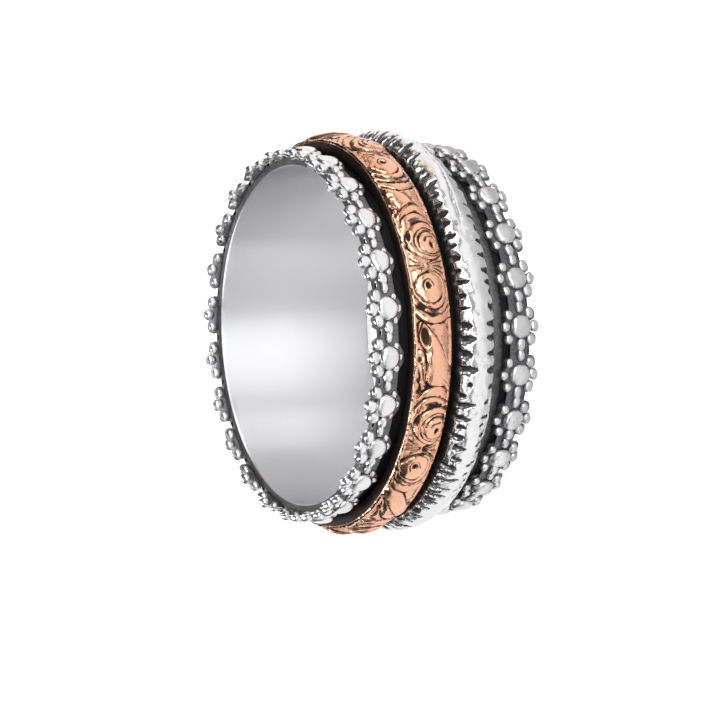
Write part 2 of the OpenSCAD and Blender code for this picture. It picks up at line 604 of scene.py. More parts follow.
@dataclass
class BeadedRim:
    """A row of rosettes on a scalloped plate, made as a straight strip and bent round."""

    rim: Rim
    line_z: float
    turn: float
    plate_r: float = 9.28
    count: int = 24
    plate_low: float = -0.26
    plate_edge: float = 0.07
    plate_lap: float = 0.2
    plate_taper: float = 0.94
    plate_inset: float = 0.05
    rosette_r: float = 0.8
    rosette_y: float = -0.1
    overhang: float = 0.45
    edge_low: float = -0.1
    edge_bright: float = 0.7
    out_margin: float = 0.05
    in_discs: tuple[float, float] = (0.2, 0.23)
    dome: Bead = Bead(0.6, 0.6, 0.38, 3.6, 32, 9)
    outer: Bead = Bead(0.33, 0.28, 0.25, 2.8, whole=True)
    inner: Bead = Bead(0.24, 0.21, 0.18, 2.5)
    link_big: Bead = Bead(0.35, 0.26, 0.24, 2.8)
    link_small: Bead = Bead(0.32, 0.22, 0.2, 2.8, 12, 4)
    out_middle: float = 0.79
    out_side: tuple[float, float] = (0.64, 0.55)
    in_middle: float = 0.72
    in_side: tuple[float, float] = (0.57, 0.5)
    link_turns: tuple[float, float] = (0.38, 0.59)
    neck: float = 0.36
    neck_in: float = 0.58
    foot: float = 0.13
    off_place: float = 0.016
    off_turn: float = 0.1
    off_size: float = 0.05
    cast: float = 0.032
    spread: np.random.Generator = field(init=False)

    def __post_init__(self) -> None:
        """Starts the draw of small differences between the beads."""
        self.spread = np.random.default_rng(24 if self.rim is Rim.FRONT else 42)

    @property
    def pitch(self) -> float:
        """Distance from one rosette to the next on the plate."""
        return 2 * math.pi * self.plate_r / self.count

    def ball(self, name: str, kind: Bead) -> bpy.types.Object:
        """Makes one bead, a little flat on its top.

        Args:
            name: The bead's name.
            kind: Its sizes.

        Returns:
            The bead, on the plate at the origin.
        """
        deselect_all()
        bpy.ops.mesh.primitive_uv_sphere_add(segments=kind.sides, ring_count=2 * kind.rings,
                                             radius=MM)
        bead = bpy.context.object
        bead.name = name
        edit(bead)
        close_edit()
        points = read_points(bead)
        way = np.hypot(points[:, 0], points[:, 1])
        top = np.clip(1.0 - way**kind.flat, 0.0, 1.0) ** (1.0 / kind.flat)
        level = np.where(points[:, 2] > 0.0, top, points[:, 2] * (1.0 if kind.whole else 0.45))
        points = np.column_stack([points[:, 0] * kind.along, points[:, 1] * kind.across,
                                  level * kind.height])
        write_points(bead, points)
        low = 1.0 - step(points[:, 2], 0.0, min(self.foot, kind.height * 0.5))
        if kind.whole:
            low *= 1.0 - step(points[:, 1], -0.2, -0.05)
        write_mask(bead, OXIDE, low)
        return bead

    def plate(self, name: str, low: float, overhang: float, bright: float,
              discs: list[tuple[float, float, float]]) -> bpy.types.Object:
        """Makes a scalloped plate under one rosette.

        Args:
            name: The plate's name.
            low: Level of its underside.
            overhang: How far it may reach to the outer side of the rim.
            bright: How much its underside is rubbed bright.
            discs: The discs that its outline joins, as middle and radius.

        Returns:
            The plate, with its top at zero height.
        """
        deselect_all()
        bpy.ops.mesh.primitive_circle_add(vertices=96, radius=MM, fill_type="NGON")
        plate = bpy.context.object
        plate.name = name
        points = read_points(plate)
        way = np.arctan2(points[:, 1], points[:, 0])
        cos, sin = np.cos(way), np.sin(way)
        neck = np.where(sin > 0.0, self.neck, self.neck_in)
        reach = np.minimum((self.pitch / 2 + self.plate_lap) / np.maximum(np.abs(cos), 1e-6),
                           neck / np.maximum(np.abs(sin), 1e-6))
        for x, y, r in discs:
            off = x * sin - y * cos
            far = x * cos + y * sin + np.sqrt(np.maximum(r * r - off * off, 0.0))
            reach = np.where(np.abs(off) < r, np.maximum(reach, far), reach)
        reach = np.minimum(reach, overhang / np.maximum(sin, 1e-6))
        write_points(plate, np.column_stack([reach * cos, reach * sin, np.full(len(way), low)]))
        edit(plate)
        bpy.ops.mesh.extrude_region_move(
            TRANSFORM_OT_translate={"value": (0.0, 0.0, (-low - self.plate_edge) * MM)})
        bpy.ops.mesh.extrude_region_move(
            TRANSFORM_OT_translate={"value": (0.0, 0.0, self.plate_edge * MM)})
        bpy.ops.transform.resize(value=(self.plate_taper, self.plate_taper, 1.0))
        bpy.ops.mesh.inset(thickness=self.plate_inset * MM)
        close_edit()
        write_mask(plate, OXIDE, 1.0 - bright * step(-read_points(plate)[:, 2], 0.02, 0.06))
        return plate

    def place(self, x: float, y: float, loose: float = 1.0) -> Matrix:
        """Places one bead on the strip with a maker's small error.

        Args:
            x: Place along the strip.
            y: Place across it, positive to the outer side of the rim.
            loose: How large the error may be.

        Returns:
            The place as a matrix in metres.
        """
        off = self.spread.normal(0.0, self.off_place * loose, 2)
        tilt = self.spread.normal(0.0, self.off_turn * loose, 3)
        size = 1.0 + self.spread.normal(0.0, self.off_size * loose, 3)
        return (Matrix.Translation(Vector((x + off[0], y + off[1], 0.0)) * MM)
                @ Matrix.Rotation(tilt[0], 4, "X") @ Matrix.Rotation(tilt[1], 4, "Y")
                @ Matrix.Rotation(2.0 * tilt[2], 4, "Z") @ Matrix.Diagonal((*size, 1.0)))

    def build(self) -> bpy.types.Object:
        """Makes the rim.

        Returns:
            The finished piece, bent round the sleeve.
        """
        kinds = {"dome": self.dome, "outer": self.outer, "inner": self.inner,
                 "link_big": self.link_big, "link_small": self.link_small}
        masters = {name: self.ball(name, kind) for name, kind in kinds.items()}
        inner_discs = [(0.0, self.rosette_y, self.rosette_r),
                       (0.0, -self.in_middle, self.in_discs[0])]
        outer_discs = [(0.0, self.out_middle, self.outer.across + self.out_margin)]
        for side in (-1, 1):
            inner_discs.append((side * self.in_side[0], -self.in_side[1], self.in_discs[1]))
            outer_discs.append((side * self.out_side[0], self.out_side[1],
                                self.outer.along + self.out_margin))
        plates = [
            self.plate("rosette_plate", self.plate_low, self.overhang, 0.0, inner_discs),
            self.plate("rosette_edge", self.edge_low, math.inf, self.edge_bright, outer_discs)]
        spots = [("dome", 0.0, 0.0, 0.4), ("outer", 0.0, self.out_middle, 1.0),
                 ("inner", 0.0, -self.in_middle, 1.0),
                 ("link_big", -self.link_turns[0] * self.pitch, 0.0, 1.0),
                 ("link_small", -self.link_turns[1] * self.pitch, 0.0, 1.0)]
        for side in (-1, 1):
            spots.append(("outer", side * self.out_side[0], self.out_side[1], 1.0))
            spots.append(("inner", side * self.in_side[0], -self.in_side[1], 1.0))
        parts = []
        for k in range(self.count):
            x = k * self.pitch
            parts += [copy_of(p, Matrix.Translation(Vector((x, 0, 0)) * MM)) for p in plates]
            for name, dx, y, loose in spots:
                bead = copy_of(masters[name], self.place(x + dx, y, loose))
                write_mask(bead, TONE, np.full(len(bead.data.vertices), self.spread.uniform()))
                parts.append(bead)
        deselect_all()
        for master in (*plates, *masters.values()):
            master.select_set(True)
        bpy.ops.object.delete()
        piece = join(self.rim.value, parts)
        self.bend(piece)
        edit(piece)
        close_edit()
        bpy.ops.object.shade_smooth_by_angle(angle=math.radians(50))
        piece.data.materials.append(Finishes.RIM.value.material())
        return piece

    def bend(self, piece: bpy.types.Object) -> None:
        """Bends the strip round the sleeve and gives its beads a cast surface.

        Args:
            piece: The straight strip, along +X with its top towards +Z.
        """
        points = read_points(piece)
        rough = np.array([noise.noise_vector(Vector(p) * 2.4) for p in points])
        rise = np.clip(points[:, 2], 0.0, 0.25) / 0.25
        points += rough * self.cast * rise[:, None]
        side = 1.0 if self.rim is Rim.FRONT else -1.0
        turn = np.radians(self.turn) + points[:, 0] / self.plate_r
        radius = self.plate_r + points[:, 2]
        level = np.maximum(self.line_z + side * points[:, 1], 0.0)
        write_points(piece, np.column_stack([
            radius * np.sin(turn), -radius * np.cos(turn), level]))


@dataclass
class LooseBand:
    """A domed band that turns on the sleeve, with its outer face worked in relief."""

    name: str
    low_z: float
    high_z: float
    crest_r: float
    bore_r: float = 9.2
    fall: float = 0.36
    corner: float = 0.14
    face_rows: int = 56
    steps: int = 1400

    @property
    def mid_z(self) -> float:
        """Level of the band's middle line."""
        return (self.low_z + self.high_z) / 2

    @property
    def bow_r(self) -> float:
        """Radius of the arc across the band."""
        half = (self.high_z - self.low_z) / 2
        return (half**2 + self.fall**2) / (2 * self.fall)

    def section(self) -> np.ndarray:
        """Draws the cross-section, as radius and level, round once.

        Returns:
            The section's points.
        """
        half = (self.high_z - self.low_z) / 2
        rim = math.asin((half - self.corner * 0.7) / self.bow_r)
        across = np.linspace(-rim, rim, self.face_rows)
        face = [(self.crest_r - self.bow_r * (1 - math.cos(a)), self.bow_r * math.sin(a))
                for a in across]
        edge_r = face[0][0]
        flank = [(edge_r - 0.05, half - 0.035), (edge_r - 0.13, half - 0.005),
                 (edge_r - 0.3, half), (self.bore_r + 0.08, half), (self.bore_r, half - 0.08)]
        rear = [(r, -z) for r, z in reversed(flank)]
        loop = rear + face + flank + [(self.bore_r, 0.3 * half), (self.bore_r, -0.3 * half)]
        return np.array(loop)

    def turned(self) -> bpy.types.Object:
        """Makes the plain band by turning its section round the finger axis.

        Returns:
            The band before its relief.
        """
        section = self.section()
        deselect_all()
        bpy.ops.mesh.primitive_circle_add(vertices=len(section), radius=MM, fill_type="NOTHING")
        piece = bpy.context.object
        piece.name = piece.data.name = self.name
        write_points(piece, np.column_stack([
            section[:, 0], np.zeros(len(section)), section[:, 1] + self.mid_z]))
        screw = piece.modifiers.new("turn", "SCREW")
        screw.steps = screw.render_steps = self.steps
        screw.use_merge_vertices, screw.merge_threshold = True, 0.002 * MM
        pick(piece)
        bpy.ops.object.modifier_apply(modifier=screw.name)
        edit(piece)
        close_edit()
        return piece

    def face(self, piece: bpy.types.Object) -> tuple[np.ndarray, np.ndarray, np.ndarray, np.ndarray]:
        """Reads where the vertices lie on the outer face.

        Args:
            piece: The turned band.

        Returns:
            The points, their turns in degrees, their places across the band, and how far
            each belongs to the worked face.
        """
        points = read_points(piece)
        turn = np.degrees(np.arctan2(points[:, 0], -points[:, 1]))
        across = points[:, 2] - self.mid_z
        radius = np.hypot(points[:, 0], points[:, 1])
        edge_r = self.crest_r - self.fall
        return points, turn, across, step(radius, edge_r - 0.25, edge_r - 0.02)

    def raise_face(self, piece: bpy.types.Object, height: np.ndarray, shift: np.ndarray) -> None:
        """Moves the worked face outwards along the band's curve.

        Args:
            piece: The turned band.
            height: Height of the relief at each vertex.
            shift: Move along the finger axis at each vertex.
        """
        points, _, across, belongs = self.face(piece)
        lean = np.arcsin(np.clip(across / self.bow_r, -0.9, 0.9))
        radius = np.hypot(points[:, 0], points[:, 1])
        grown = (radius + height * belongs * np.cos(lean)) / radius
        widen(points, grown)
        points[:, 2] += height * belongs * np.sin(lean) + shift * belongs
        write_points(piece, points)


@dataclass
class Chased:
    """Relief over the unrolled face of a band: right is towards falling turns, up to the front."""

    right: np.ndarray
    up: np.ndarray
    height: np.ndarray
    oxide: np.ndarray
    grain: np.ndarray
    held: np.ndarray | None = None

    def near(self, x: float, reach: float) -> "Chased":
        """Cuts out the part of the face round one place.

        Args:
            x: The place along the band.
            reach: Half the part's length.

        Returns:
            The part, with places counted from its middle.
        """
        self.held = np.abs(self.right - x) < reach
        return Chased(self.right[self.held] - x, self.up[self.held], self.height[self.held],
                      self.oxide[self.held], self.grain[self.held])

    def keep(self, part: "Chased") -> None:
        """Puts a worked part back where near cut it out."""
        self.height[self.held], self.oxide[self.held] = part.height, part.oxide

    def groove(self, line: list[tuple[float, float]], width: float = 0.045, depth: float = 0.06,
               dark: float = 0.95) -> None:
        """Cuts a dark line, a little wider and narrower by turns.

        Args:
            line: Points that it passes.
            width: Its half width.
            depth: Its depth.
            dark: How much oxide it holds.
        """
        away = distance(self.right, self.up, curve(line)) / (width * (1.0 + 0.7 * self.grain))
        self.height -= depth * np.exp(-away**2)
        self.oxide[:] = np.maximum(self.oxide, dark * np.exp(-(away / 1.25) ** 4))

    def pad(self, depth_in: np.ndarray, top: float, crown: float, soft: float = 0.25,
            gap: np.ndarray | float = 0.05, deep: float = 0.07, dark: float = 0.95) -> None:
        """Lays a raised, rounded shape over what is there, with a dark gap along its edge.

        Args:
            depth_in: Distance of each vertex inside the shape's edge, negative outside.
            top: Height of the shape at its edge.
            crown: How much higher it stands further in.
            soft: Distance over which it rises.
            gap: Width of the gap outside it.
            deep: Depth of the gap.
            dark: How much oxide the gap holds.
        """
        within = depth_in > 0
        rise = 1.0 - (1.0 - np.clip(depth_in / soft, 0.0, 1.0)) ** 2
        self.height[within] = top + crown * rise[within]
        self.oxide[within] = 0.0
        wide = gap * (1.0 + 0.9 * self.grain)
        away = np.where(within, depth_in / 0.03, -depth_in / np.maximum(wide, 0.02))
        self.height -= deep * np.exp(-away**2)
        self.oxide[:] = np.maximum(self.oxide, dark * np.exp(-(away * 0.85) ** 4))

    def disc(self, x: float, y: float, r: float, top: float, crown: float = 0.03,
             thin: float = 0.03, thick: float = 0.03, **style: float) -> None:
        """Lays a round pad whose gap swells on the side away from the pair's middle.

        Args:
            x: Its middle along the band.
            y: Its middle across the band.
            r: Its radius.
            top: Height at its edge.
            crown: How much higher it stands further in.
            thin: Width of the gap towards the pair's middle.
            thick: Width of the gap on the far side.
            **style: Other settings of the pad.
        """
        dx, dy = self.right - x, self.up - y
        away = np.hypot(dx, dy)
        far = np.clip(math.copysign(1.0, x) * dx / np.maximum(away, 1e-3), 0.0, 1.0)
        edge = r * (1.0 + 0.035 * np.sin(3.0 * np.arctan2(dy, dx) + 7.0 * x))
        self.pad(edge - away, top, crown, gap=thin + (thick - thin) * far**1.5, **style)

    def shape(self, points: list[tuple[float, float]], top: float, crown: float = 0.03,
              **style: float) -> None:
        """Lays a pad with a smooth closed outline through points."""
        line = curve(points, closed=True)
        away = distance(self.right, self.up, line)
        sign = np.where(inside(self.right, self.up, line), 1.0, -1.0)
        self.pad(away * sign, top, crown, **style)

    def dark_dip(self, x: float, y: float, rx: float, ry: float, tilt: float, dark: float,
              drop: float = 0.04) -> None:
        """Darkens and lowers an oval field.

        Args:
            x: Place along the band.
            y: Place across it.
            rx: Half length.
            ry: Half width.
            tilt: Turn of the oval in degrees.
            dark: How much oxide it holds.
            drop: How deep it lies.
        """
        c, s = math.cos(math.radians(tilt)), math.sin(math.radians(tilt))
        dx, dy = self.right - x, self.up - y
        away = np.hypot((dx * c + dy * s) / rx, (dy * c - dx * s) / ry)
        spot = 1.0 - step(away, 0.75, 1.15)
        self.height -= drop * spot
        self.oxide[:] = np.maximum(self.oxide, dark * spot)


@dataclass(frozen=True)
class Petal:
    """One round petal of a rose, placed from the pair's middle: away from it, and up."""

    x: float
    y: float
    r: float
    top: float
    thick: float


class Leaf(Enum):
    """The leaves between the pairs of roses."""

    HOLLOW = "beside a dark hollow"
    FAT = "short and fat, under a stripe"
    PLAIN = "a plain slanting band"


@dataclass
class RoseBand(LooseBand):
    """The rose gold band: pairs of roses with leaves between them."""

    relief: float = 0.2
    coarse_grain: float = 0.03
    fine_grain: float = 0.01
    ragged: float = 0.07
    dark: float = 0.76
    dark_swing: float = 0.2
    pair_turns: tuple[float, ...] = (-36.0, 17.6, 60.6, 113.0, 166.0, 219.0, 271.0)
    leaves: tuple[Leaf, ...] = (Leaf.HOLLOW, Leaf.FAT, Leaf.PLAIN, Leaf.HOLLOW, Leaf.PLAIN,
                                Leaf.HOLLOW, Leaf.PLAIN)
    high_rose: tuple[Petal, ...] = (
        Petal(1.75, -0.1, 1.32, 0.03, 0.08), Petal(1.45, 0.0, 1.12, 0.06, 0.12),
        Petal(1.3, 0.06, 0.95, 0.09, 0.17), Petal(1.17, 0.16, 0.77, 0.13, 0.09))
    low_rose: tuple[Petal, ...] = (
        Petal(2.1, -0.1, 1.35, 0.03, 0.07), Petal(1.75, -0.12, 1.2, 0.05, 0.1),
        Petal(1.32, -0.25, 1.06, 0.09, 0.24), Petal(1.24, -0.33, 0.78, 0.12, 0.06),
        Petal(1.2, -0.38, 0.62, 0.14, 0.15))

    @property
    def per_degree(self) -> float:
        """Length of one degree round the crest."""
        return math.radians(self.crest_r)

    def rose(self, part: Chased, petals: tuple[Petal, ...], way: float, wobble: float) -> None:
        """Chases one rose of a pair, with its petals fanned away from the pair.

        Args:
            part: The face round the pair's middle.
            petals: Its petals, from the outermost in.
            way: 1 for the rose to the right, or -1 for the one to the left.
            wobble: Small difference from the other roses.
        """
        for k, petal in enumerate(petals):
            last = k == len(petals) - 1
            part.disc(way * (petal.x + wobble * (1.0 - 0.25 * k)), petal.y + 0.5 * wobble, petal.r,
                      petal.top, 0.05 if last else 0.02, thick=petal.thick,
                      soft=0.5 if last else 0.15, deep=0.09 if last else 0.07)
        heart = petals[-1]
        pit_x, pit_y = way * (heart.x - 0.12), heart.y + 0.06 * way
        if way > 0:
            part.dark_dip(way * 2.1, 0.72, 0.3, 0.09, -35.0, 0.9)
            part.dark_dip(way * 2.45, -0.1, 0.1, 0.34, 14.0, 0.8)
            part.groove([(pit_x + 0.05, pit_y - 0.3), (pit_x - 0.28, pit_y - 0.12),
                         (pit_x - 0.27, pit_y + 0.14), (pit_x, pit_y + 0.28),
                         (pit_x + 0.26, pit_y + 0.2)], 0.035, 0.04, 0.85)
        else:
            part.dark_dip(way * 1.65, 0.68, 0.32, 0.12, 8.0, 0.9)
            part.dark_dip(way * 2.6, 0.1, 0.1, 0.45, -10.0, 0.75)
            part.groove([(pit_x - 0.45, pit_y - 0.15), (pit_x - 0.42, pit_y + 0.22),
                         (pit_x - 0.2, pit_y + 0.4)], 0.05, 0.05, 0.85)
        part.dark_dip(pit_x, pit_y, 0.2, 0.15, -8.0, 1.0, drop=0.13)

    def pair(self, part: Chased, number: int) -> None:
        """Chases a pair of roses and the sheaf of lines between them.

        Args:
            part: The face round the pair's middle.
            number: The pair's number, for its small differences.
        """
        wobble = 0.07 * math.sin(2.1 * number)
        self.rose(part, self.low_rose, -1.0, wobble)
        self.rose(part, self.high_rose, 1.0, -wobble)
        for x, lean in ((-0.3, -0.28), (-0.16, -0.12), (0.0, 0.02), (0.15, 0.2), (0.3, 0.42)):
            part.groove([(x * 0.4, 0.0), (x * 0.9, -0.4), (x + lean, -0.95)], 0.035, 0.05, 0.9)
        for x, lean in ((-0.22, -0.25), (-0.06, -0.05), (0.12, 0.1)):
            part.groove([(x * 0.4, 0.2), (x, 0.55), (x + lean, 0.98)], 0.03, 0.045, 0.85)

    def leaf(self, part: Chased, length: float, kind: Leaf) -> None:
        """Chases the leaf that runs from the front edge down to the rear edge.

        Args:
            part: The face round the middle between two pairs.
            length: Distance between the pairs' middles.
            kind: The leaf's form.
        """
        s = length / 9.68
        if kind is Leaf.HOLLOW:
            part.shape([(-2.0 * s, 0.78), (-1.44 * s, 0.21), (-0.78 * s, -0.29), (0.07, -0.75),
                        (0.82 * s, -1.2), (2.0 * s, -1.2), (1.76 * s, -0.61), (1.39 * s, -0.2),
                        (1.25 * s, 0.35), (0.82 * s, 0.55), (0.16, 0.5), (-0.5 * s, 0.62),
                        (-0.88 * s, 0.84), (-1.44 * s, 0.95)], 0.07, 0.07, soft=0.5, deep=0.09)
            part.dark_dip(-1.21 * s, 0.58, 0.52, 0.24, -10.0, 1.0, drop=0.16)
            part.groove([(-1.9 * s, 0.7), (-1.3 * s, 0.9), (-0.75 * s, 0.78), (-0.45 * s, 0.55)],
                        0.04, 0.05, 0.9)
            for x in (0.9, 1.15, 1.4):
                part.groove([(x * s, -0.35), (x * s + 0.22, -0.65), (x * s + 0.55, -0.95)],
                            0.03, 0.04, 0.75)
            part.groove([(-0.6, 1.07), (-0.45, 0.7), (0.1, 0.5)], 0.045, 0.06)
            part.groove([(0.0, 1.0), (0.3, 0.75), (1.0, 0.62), (1.3, 0.4)], 0.045, 0.06)
            part.groove([(0.35, 1.02), (0.7, 0.86), (1.1, 0.84)], 0.035, 0.05)
            part.groove([(0.9, 1.05), (1.25, 0.82), (1.6, 0.75), (1.5, 0.45)], 0.05, 0.07)
            part.dark_dip(-0.05, 0.88, 0.17, 0.09, -10.0, 0.9)
            part.dark_dip(1.65, 0.86, 0.2, 0.12, 30.0, 0.9)
            part.dark_dip(1.38, 0.45, 0.09, 0.2, 20.0, 0.9)
        elif kind is Leaf.FAT:
            # A shallow hollow under the leaf, darkened as painted shade.
            part.groove([(-0.52, -0.05), (0.14, -0.38), (0.7, -0.75), (1.46, -0.84)], 0.16, 0.06,
                        0.8)
            part.shape([(0.4, 1.15), (1.08, 0.72), (1.6, 0.36), (1.42, 0.12), (0.6, 0.7),
                        (0.1, 1.1)], 0.1, 0.04, soft=0.15)
            part.shape([(-1.1, 1.1), (-0.61, 0.35), (-0.14, -0.06), (0.52, -0.27), (1.08, -0.15),
                        (1.34, 0.05), (0.9, 0.44), (0.52, 0.75), (0.1, 1.0)], 0.09, 0.1, soft=0.5,
                       deep=0.1)
            part.dark_dip(0.85, 1.0, 0.28, 0.1, -40.0, 0.9)
            part.dark_dip(1.75, 0.75, 0.1, 0.22, 10.0, 0.85)
        else:
            part.shape([(-3.25 * s, 1.25), (-3.0 * s, 0.85), (-2.2 * s, 0.47), (-1.28 * s, -0.16),
                        (-0.44 * s, -0.7), (0.2 * s, -1.3), (1.6 * s, -1.3), (0.69 * s, -0.44),
                        (-0.34 * s, 0.38), (-1.19 * s, 1.0), (-1.4 * s, 1.25)], 0.08, 0.06,
                       soft=0.5, deep=0.09)
            part.groove([(-1.0 * s, 0.95), (0.1, 0.45), (0.9 * s, 0.3), (1.25 * s, -0.1)], 0.07,
                        0.08)
            part.groove([(-0.2, 1.0), (0.5, 0.75), (1.1, 0.78)], 0.06, 0.06)
            part.dark_dip(0.55, 0.5, 0.45, 0.1, -25.0, 0.95)
            part.dark_dip(1.3, 0.62, 0.14, 0.2, 0.0, 0.85)

    def build(self) -> bpy.types.Object:
        """Makes the rose gold band.

        Returns:
            The finished piece.
        """
        piece = self.turned()
        points, turn, across, belongs = self.face(piece)
        coarse = np.array([noise.noise(Vector(p) * 1.7) for p in points])
        fine = np.array([noise.noise(Vector(p) * 5.0) for p in points])
        face = Chased(-turn * self.per_degree, across, np.zeros(len(turn)),
                      np.full(len(turn), 0.25) + 0.6 * fine, np.clip(coarse + fine, -0.8, 0.8))
        around = 360.0 * self.per_degree
        turns = [*self.pair_turns, self.pair_turns[0] + 360.0]
        for k, (here, there) in enumerate(zip(turns, turns[1:])):
            length = (there - here) * self.per_degree
            self.work_round(face, (here + there) / 2, around,
                            lambda part: self.leaf(part, length, self.leaves[k]))
        for k, here in enumerate(self.pair_turns):
            self.work_round(face, here, around, lambda part: self.pair(part, k))
        edge = self.high_z - self.mid_z - 0.07
        face.height += self.coarse_grain * coarse + self.fine_grain * fine
        near_edge = step(np.abs(across), edge - 0.05, edge)
        face.height = face.height * (1.0 - near_edge) + 0.09 * near_edge
        face.oxide *= 1.0 - 0.9 * near_edge * (across > 0)
        ragged = self.ragged * (coarse + 0.6 * fine) * step(across, edge - 0.4, edge)
        self.raise_face(piece, face.height - self.relief * 0.75, ragged)
        dark = self.dark + self.dark_swing * coarse
        # Off the worked face, the flanks and the inside are fully blackened: painted shade for the
        # shadowed gaps beside the band.
        write_mask(piece, OXIDE, np.maximum(face.oxide * belongs * dark, step(belongs, 0.97, 0.8)))
        # The tone follows the relief's height, with some random swing, so the metal is darker in the
        # low places: painted shade.
        write_mask(piece, TONE, np.clip(0.3 + face.height / self.relief + 0.3 * coarse, 0.0, 1.0))
        pick(piece)
        bpy.ops.object.shade_smooth()
        piece.data.materials.append(Finishes.ROSE.value.material())
        return piece

    def work_round(self, face: Chased, turn: float, around: float,
                   work: Callable[[Chased], None]) -> None:
        """Works the face round one place, across the seam too.

        Args:
            face: The whole face.
            turn: The place in degrees.
            around: Length of the whole face.
            work: What is done there.
        """
        x = -turn * self.per_degree
        for lap in (-around, 0.0, around):
            part = face.near(x + lap, 5.0)
            if part.right.size:
                work(part)
                face.keep(part)


@dataclass(frozen=True)
class Notch:
    """One chisel mark in the silver band, from near its edge inwards."""

    turn: float
    far: float
    width: float = 0.16
    near: float = 0.0
    lean: float = 0.0


@dataclass
class SilverBand(LooseBand):
    """The silver band: hammered smooth, notched from both edges, with a forged crease."""

    front: tuple[Notch, ...] = (
        Notch(69.6, 0.6), Notch(63.9, 0.95, 0.22, lean=0.35), Notch(57.6, 0.8, 0.12, lean=0.5),
        Notch(51.6, 0.4, 0.12, lean=0.3), Notch(48.8, 0.45, 0.12, lean=0.3),
        Notch(45.0, 0.6, 0.13, lean=0.35), Notch(41.2, 0.4, 0.1), Notch(37.6, 0.35, 0.12),
        Notch(34.2, 0.45, 0.14), Notch(31.0, 0.38, 0.14), Notch(26.9, 0.45, 0.15),
        Notch(23.6, 0.35, 0.12), Notch(19.8, 0.4, 0.16), Notch(16.0, 0.3, 0.12),
        Notch(12.6, 0.6, 0.14), Notch(8.6, 0.35, 0.13), Notch(5.0, 0.5, 0.08),
        Notch(-0.1, 0.5, 0.2), Notch(-4.1, 0.7, 0.21, lean=0.1), Notch(-8.3, 0.52, 0.22),
        Notch(-12.9, 0.82, 0.23, lean=0.08), Notch(-16.9, 0.6, 0.1, 0.35),
        Notch(-20.3, 0.35, 0.12), Notch(-23.5, 0.87, 0.16, lean=0.16), Notch(-27.4, 0.75, 0.16),
        Notch(-30.1, 0.6, 0.11, 0.15), Notch(-33.4, 0.6, 0.2), Notch(-37.1, 0.9, 0.18, 0.22),
        Notch(-41.0, 0.8, 0.17, 0.3), Notch(-44.2, 0.7, 0.2), Notch(-47.0, 0.75, 0.14, lean=0.2),
        Notch(-50.0, 1.15, 0.14, lean=0.25), Notch(-53.6, 0.95, 0.13, lean=0.2),
        Notch(-57.0, 0.9, 0.13, lean=0.2), Notch(-60.5, 0.7, 0.14, lean=0.2),
        Notch(-64.0, 0.6, 0.13, lean=0.2))
    rear: tuple[Notch, ...] = (
        Notch(60.5, 0.5, 0.1), Notch(49.0, 0.35, 0.15), Notch(44.0, 0.3, 0.15),
        Notch(37.3, 0.45, 0.08), Notch(32.9, 0.55, 0.12), Notch(29.0, 0.35, 0.19),
        Notch(24.8, 0.5, 0.13), Notch(20.4, 0.6, 0.13), Notch(15.7, 0.6, 0.14),
        Notch(12.3, 0.5, 0.14), Notch(9.5, 0.3, 0.16), Notch(5.3, 0.5, 0.17),
        Notch(0.3, 0.65, 0.16), Notch(-3.6, 0.68, 0.17), Notch(-8.0, 0.62, 0.15),
        Notch(-12.9, 0.66, 0.17), Notch(-17.9, 0.45, 0.13), Notch(-22.3, 0.6, 0.12, 0.25),
        Notch(-27.0, 0.62, 0.12, 0.15), Notch(-29.5, 0.6, 0.11, 0.35),
        Notch(-32.6, 0.5, 0.13, 0.1), Notch(-35.6, 0.6, 0.12, lean=-0.15),
        Notch(-38.6, 0.4, 0.12, lean=-0.15), Notch(-42.6, 0.75, 0.12, 0.1, lean=-0.15),
        Notch(-47.0, 0.7, 0.1, 0.4), Notch(-50.7, 0.6, 0.12, 0.2), Notch(-54.0, 0.7, 0.12, 0.2),
        Notch(-57.5, 0.5, 0.12, 0.1))
    crease: tuple[tuple[float, float], ...] = (
        (95.0, -0.1), (80.0, -0.1), (68.0, -0.14), (60.0, -0.2), (51.0, -0.26), (44.6, -0.12),
        (38.0, 0.12), (31.0, 0.14), (25.0, 0.32), (17.5, 0.58), (6.0, 0.6), (1.9, 0.75),
        (-10.0, 1.1))

    waves: float = 0.045
    grain: float = 0.006
    hammer: float = 0.1
    crease_lift: float = 0.09
    crease_cut: float = 0.05
    ragged: float = 0.05
    seed: int = 7
    far_side: tuple[float, float, float] = (74.0, 293.0, 4.6)
    open: float = 1.35
    deep: float = 0.2
    dent: float = 0.05

    def strike(self, piece_face: Chased, notch: Notch, side: float, edge: float) -> None:
        """Cuts one notch.

        Args:
            piece_face: The band's face.
            notch: The mark.
            side: 1 from the front edge, -1 from the rear edge.
            edge: Distance of the edge from the middle line.
        """
        x = -notch.turn * math.radians(self.crest_r)
        part = piece_face.near(x, 1.2)
        if not part.right.size:
            return
        deep = edge - side * part.up
        away = part.right + notch.lean * deep * 0.9
        share = np.clip((deep - notch.near) / (notch.far - notch.near), 0.0, 1.0)
        wide = notch.width * self.open * (1.0 + 0.5 * part.grain)
        open_w = wide * np.sqrt(np.clip(1.0 - share**1.8, 0.0, 1.0))
        start = 1.0 if notch.near == 0.0 else step(deep, notch.near - 0.06, notch.near + 0.06)
        wedge = np.clip(1.0 - np.abs(away) / np.maximum(open_w, 1e-3), 0.0, 1.0) * start
        wedge *= share < 0.99
        part.height -= self.deep * (1.0 - 0.5 * share) * np.minimum(wedge * 1.5, 1.0)
        dip = np.exp(-(away / (0.1 + 1.6 * notch.width)) ** 2) * (1.0 - share) * start
        part.height -= self.dent * dip
        facet = step(away, 0.03, 0.12) * step(wedge, 0.1, 0.5) * 0.6 * (share < 0.55)
        part.oxide[:] = np.maximum(part.oxide, step(wedge, 0.02, 0.22) * (1.0 - facet))
        piece_face.keep(part)

